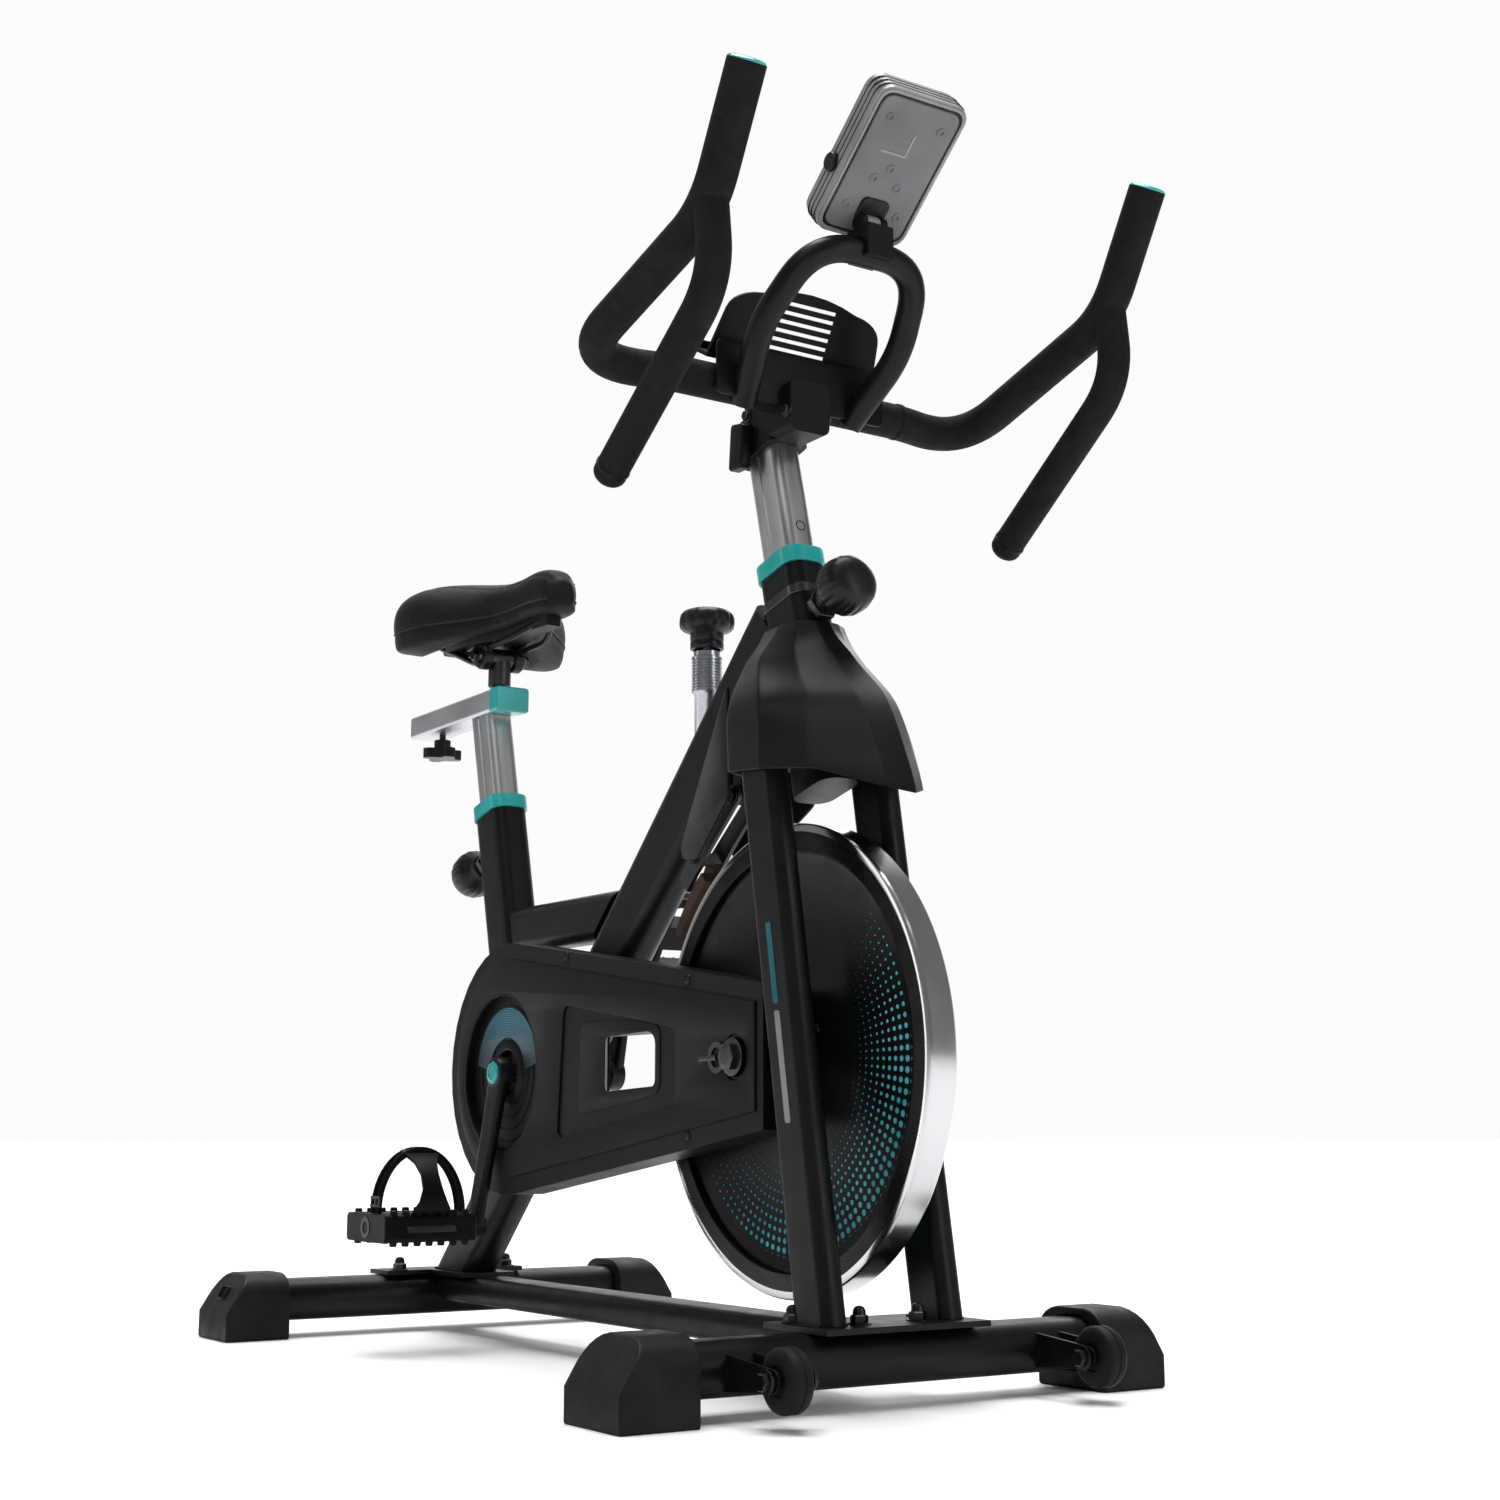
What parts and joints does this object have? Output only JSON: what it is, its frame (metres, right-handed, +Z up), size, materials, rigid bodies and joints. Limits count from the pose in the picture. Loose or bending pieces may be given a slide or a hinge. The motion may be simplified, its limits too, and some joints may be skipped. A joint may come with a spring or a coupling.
{
  "type": "exercise bike",
  "caption": "Indoor cycling bike with a belt-driven front flywheel, adjustable saddle and handlebar posts, toe-cage pedals and a tilting display on a tubular frame.",
  "frame": {"origin": "on the floor under the middle of the bike's bounding box", "axes": "+X the way the rider faces, +Y to the rider's left, +Z up; the covered drive side is on the rider's right, -Y"},
  "size_m": [1.0708, 0.55, 1.1356],
  "materials": {
    "frame_paint": "satin black powder coat",
    "black_plastic": "moulded matt black",
    "rubber": "moulded black rubber",
    "foam": "black foam grip over steel tube",
    "leather_black": "black synthetic leather",
    "leather": "dark felt and leather brake pad",
    "aluminium": "satin anodised",
    "chrome": "polished",
    "steel": "turned steel",
    "cast_iron": "painted black casting",
    "teal_plastic": "teal plastic",
    "grey_plastic": "silver grey moulded plastic",
    "screen": "dark liquid crystal screen"
  },
  "bodies": {
    "frame": {"rear_stabilizer": "frame_paint", "front_stabilizer": "frame_paint", "rear_foot_cap_left": "rubber", "rear_foot_cap_right": "rubber", "front_foot_cap_left": "rubber", "front_foot_cap_right": "rubber", "base_tube": "frame_paint", "main_tube": "frame_paint", "seat_tube": "frame_paint", "seat_beam": "frame_paint", "fork_leg_left": "frame_paint", "fork_leg_right": "frame_paint", "seat_collar": "teal_plastic", "head_collar": "teal_plastic", "front_hood": "black_plastic", "drive_cover": "black_plastic", "drive_cover_back": "black_plastic", "drive_belt": "rubber", "flywheel_axle": "steel", "tension_housing": "steel"},
    "wheel_left": {"transport_wheel_left": "rubber"},
    "wheel_right": {"transport_wheel_right": "rubber"},
    "flywheel": {"flywheel_disc": "cast_iron", "flywheel_rim": "chrome", "flywheel_pulley": "steel"},
    "crank": {"crank_spindle": "steel", "drive_pulley": "black_plastic", "crank_arm_right": "frame_paint", "crank_arm_left": "frame_paint"},
    "pedal_right": {"pedal_right": "black_plastic", "toe_cage_right": "black_plastic"},
    "pedal_left": {"pedal_left": "black_plastic", "toe_cage_left": "black_plastic"},
    "tension_rod": {"tension_rod": "steel"},
    "tension_knob": {"tension_knob": "black_plastic"},
    "brake": {"brake_arm": "steel", "brake_pad": "leather"},
    "seat": {"seat_post": "aluminium", "seat_rail": "aluminium", "seat_rail_cap": "teal_plastic"},
    "seat_rail_knob": {"seat_rail_knob": "black_plastic"},
    "carriage": {"saddle_carriage": "frame_paint", "saddle_clamp": "black_plastic"},
    "saddle": {"saddle_shell": "black_plastic", "saddle_cushion": "leather_black"},
    "seat_pin": {"seat_height_pin": "steel"},
    "seat_knob": {"seat_height_knob": "black_plastic"},
    "handlebar": {"handlebar_post": "aluminium", "handlebar_clamp": "black_plastic", "handlebar_bar": "foam", "inner_bar_left": "foam", "inner_bar_right": "foam", "display_arch": "frame_paint", "tablet_rest": "black_plastic", "display_mount": "black_plastic"},
    "handlebar_pin": {"handlebar_height_pin": "steel"},
    "handlebar_knob": {"handlebar_height_knob": "black_plastic"},
    "display": {"display_housing": "grey_plastic", "display_screen": "screen"},
    "display_button": {"display_button": "black_plastic"}
  },
  "joints": [
    {"name": "seat_height", "type": "slide", "parent": "frame", "child": "seat", "axis": [-0.2419, 0, 0.9703], "range_m": [-0.07, 0.11]},
    {"name": "saddle_fore_aft", "type": "slide", "parent": "seat", "child": "carriage", "axis": [1, 0, 0], "range_m": [-0.075, 0.003]},
    {"name": "saddle_tilt", "type": "hinge", "parent": "carriage", "child": "saddle", "pos_m": [-0.33643, 0, 0.76], "axis": [0, 1, 0], "range_deg": [-8, 8]},
    {"name": "seat_rail_knob_turn", "type": "hinge", "parent": "seat", "child": "seat_rail_knob", "pos_m": [-0.48643, 0, 0.669], "axis": [0, 0, 1], "range_deg": [-720, 720]},
    {"name": "seat_pin_pull", "type": "slide", "parent": "frame", "child": "seat_pin", "axis": [-0.9703, 0, -0.2419], "range_m": [0, 0.008], "stiffness_N_per_m": 900, "springref_m": -0.004},
    {"name": "seat_knob_turn", "type": "hinge", "parent": "seat_pin", "child": "seat_knob", "pos_m": [-0.31525, 0, 0.532], "axis": [-0.9703, 0, -0.2419], "range_deg": [-720, 720]},
    {"name": "handlebar_height", "type": "slide", "parent": "frame", "child": "handlebar", "axis": [-0.2419, 0, 0.9703], "range_m": [-0.055, 0.085]},
    {"name": "handlebar_pin_pull", "type": "slide", "parent": "frame", "child": "handlebar_pin", "axis": [0.9703, 0, 0.2419], "range_m": [0, 0.008], "stiffness_N_per_m": 900, "springref_m": -0.004},
    {"name": "handlebar_knob_turn", "type": "hinge", "parent": "handlebar_pin", "child": "handlebar_knob", "pos_m": [0.27503, 0, 0.683], "axis": [0.9703, 0, 0.2419], "range_deg": [-720, 720]},
    {"name": "display_tilt", "type": "hinge", "parent": "handlebar", "child": "display", "pos_m": [0.39057, 0, 1.029], "axis": [0, 1, 0], "range_deg": [-15, 12]},
    {"name": "display_button_press", "type": "slide", "parent": "display", "child": "display_button", "axis": [0.6374, 0, -0.7705], "range_m": [0, 0.0015], "stiffness_N_per_m": 600, "springref_m": -0.001},
    {"name": "flywheel_spin", "type": "hinge", "parent": "frame", "child": "flywheel", "pos_m": [0.27057, 0, 0.285], "axis": [0, 1, 0], "continuous": true},
    {"name": "crank_spin", "type": "hinge", "parent": "frame", "child": "crank", "pos_m": [-0.18143, 0, 0.28], "axis": [0, 1, 0], "continuous": true},
    {"name": "pedal_right_spin", "type": "hinge", "parent": "crank", "child": "pedal_right", "pos_m": [-0.19855, -0.156, 0.12494], "axis": [0, 1, 0], "continuous": true},
    {"name": "pedal_left_spin", "type": "hinge", "parent": "crank", "child": "pedal_left", "pos_m": [-0.16431, 0.156, 0.43506], "axis": [0, 1, 0], "continuous": true},
    {"name": "wheel_left_spin", "type": "hinge", "parent": "frame", "child": "wheel_left", "pos_m": [0.48257, 0.157, 0.037], "axis": [0, 1, 0], "continuous": true},
    {"name": "wheel_right_spin", "type": "hinge", "parent": "frame", "child": "wheel_right", "pos_m": [0.48257, -0.157, 0.037], "axis": [0, 1, 0], "continuous": true},
    {"name": "tension_push", "type": "slide", "parent": "frame", "child": "tension_rod", "axis": [0, 0, 1], "range_m": [-0.0053, 0], "stiffness_N_per_m": 2500, "springref_m": 0.002},
    {"name": "tension_turn", "type": "hinge", "parent": "tension_rod", "child": "tension_knob", "pos_m": [0.11557, 0, 0.71], "axis": [0, 0, 1], "range_deg": [-1080, 1080]},
    {"name": "brake_swing", "type": "hinge", "parent": "frame", "child": "brake", "pos_m": [0.18457, 0, 0.532], "axis": [0, 1, 0], "range_deg": [-4.4, 0]}
  ],
  "couplings": [
    {"joint": "crank_spin", "follows": "flywheel_spin", "ratio": 0.3},
    {"joint": "brake_swing", "follows": "tension_push", "rad_per_m": 14.49}
  ]
}
